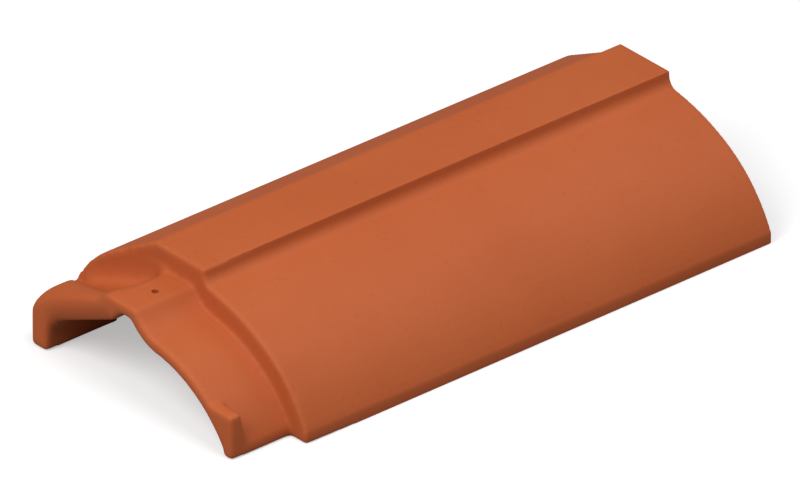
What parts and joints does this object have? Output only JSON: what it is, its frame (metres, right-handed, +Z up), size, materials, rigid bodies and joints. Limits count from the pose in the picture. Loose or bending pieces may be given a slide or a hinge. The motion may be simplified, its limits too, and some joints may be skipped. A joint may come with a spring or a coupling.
{
  "type": "clay ridge tile",
  "caption": "Interlocking fired-clay roof ridge tile: a curved cover with a raised flat top band and a stepped-down neck that the next tile laps over.",
  "frame": {"origin": "on the ground, under the middle of the tile's bounding box", "axes": "+Y along the tile from the neck end to the tail end, +Z up through the top band, +X across towards the wide curved side"},
  "size_m": [0.216, 0.45, 0.086],
  "materials": {
    "fired_clay": "matt unglazed terracotta"
  },
  "bodies": {
    "root": {"roof_tile": "fired_clay"}
  },
  "joints": []
}
